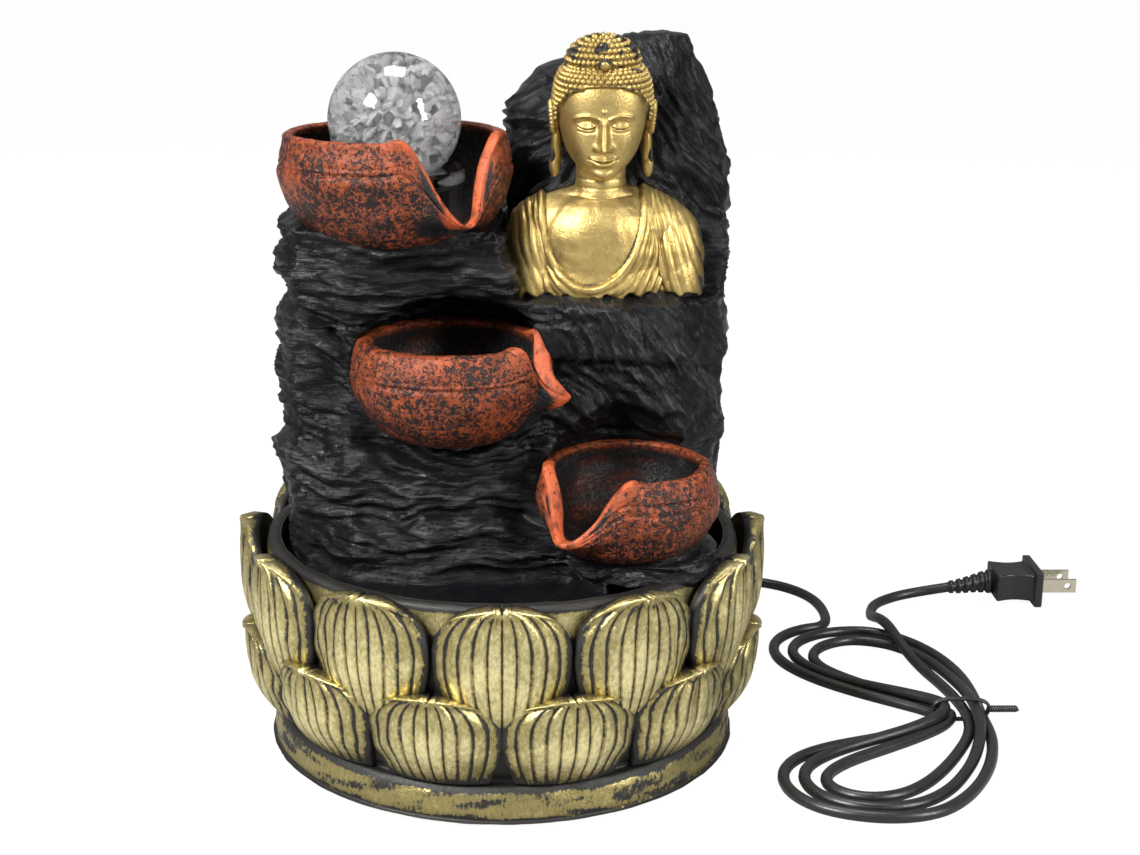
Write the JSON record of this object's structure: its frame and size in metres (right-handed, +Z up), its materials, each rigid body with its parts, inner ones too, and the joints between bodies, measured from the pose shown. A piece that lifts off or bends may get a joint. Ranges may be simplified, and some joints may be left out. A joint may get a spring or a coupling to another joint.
{
  "type": "tabletop water fountain",
  "caption": "Tabletop water fountain: lotus basin, rock cascade of terracotta bowls, gilded seated bust, lit crackle-glass ball, submersible pump and a corded plug.",
  "frame": {"origin": "under the middle of the base, on the surface it stands on", "axes": "+Z up, -Y towards the front, +X to the viewer's right"},
  "size_m": [0.3758, 0.2644, 0.2765],
  "materials": {
    "antique_brass_resin": "antique pale brass paint over cast resin, black in the grooves",
    "gold_resin": "satin gold paint over cast resin",
    "slate_resin": "charcoal cast resin with grey dry-brushed edges",
    "terracotta_resin": "terracotta paint with black sponged speckle",
    "crackle_glass": "clear, crackled inside",
    "clear_plastic": "clear moulded acrylic",
    "black_plastic": "fine moulded texture",
    "black_vinyl": "satin vinyl cord jacket",
    "clear_vinyl": "translucent water tube",
    "black_rubber": "soft matt rubber",
    "led_lens": "clear epoxy lens",
    "circuit_board": "green lacquered board",
    "nickel_brass": "bright stamped blades",
    "ceramic_shaft": "ground white ceramic",
    "ferrite": "sintered ferrite",
    "steel_lamination": "stacked laminations",
    "copper_winding": "enamelled wire",
    "label_paper": "blank label"
  },
  "bodies": {
    "root": {"base_pads": "black_rubber", "lotus_basin": "antique_brass_resin", "rock_body": "slate_resin", "upper_bowl": "terracotta_resin", "middle_bowl": "terracotta_resin", "lower_bowl": "terracotta_resin", "statue": "gold_resin", "light_housing": "black_plastic", "light_back_cover": "black_plastic", "light_leds": "led_lens", "light_board": "circuit_board", "light_lead": "black_vinyl", "jet_nozzle": "black_plastic", "water_tube": "clear_vinyl", "pump_housing": "black_plastic", "pump_base_plate": "black_plastic", "pump_front_cover": "black_plastic", "pump_lead_glands": "black_rubber", "pump_shaft": "ceramic_shaft", "pump_shaft_bushes": "black_rubber", "pump_stator_core": "steel_lamination", "pump_coil": "copper_winding", "pump_suction_cups": "black_rubber", "pump_label": "label_paper", "inner_mains_lead": "black_vinyl", "cord_grommet": "black_rubber", "mains_lead": "black_vinyl", "cord_hank": "black_vinyl", "hank_tie": "black_vinyl", "mains_lead_tail": "black_vinyl", "plug_strain_relief": "black_rubber", "plug_body": "black_plastic", "plug_blades": "nickel_brass"},
    "cover": {"rear_cover": "slate_resin"},
    "seat": {"ball_seat": "clear_plastic"},
    "ball": {"glass_ball": "crackle_glass"},
    "rotor": {"pump_rotor_magnet": "ferrite", "pump_impeller": "black_plastic"},
    "slider": {"pump_flow_slider": "black_plastic"}
  },
  "joints": [
    {"name": "cover_pull", "type": "slide", "parent": "root", "child": "cover", "axis": [0, 1, 0], "range_m": [0, 0.04]},
    {"name": "seat_lift", "type": "slide", "parent": "root", "child": "seat", "axis": [0, 0, 1], "range_m": [0, 0.05]},
    {"name": "ball_spin", "type": "hinge", "parent": "seat", "child": "ball", "pos_m": [-0.0395, -0.008, 0.2435], "axis": [0, 0, 1], "continuous": true},
    {"name": "impeller_spin", "type": "hinge", "parent": "root", "child": "rotor", "pos_m": [0.007, 0.03, 0.045], "axis": [0, 0, 1], "continuous": true},
    {"name": "flow_slide", "type": "slide", "parent": "root", "child": "slider", "axis": [0, 1, 0], "range_m": [0, 0.008]}
  ]
}
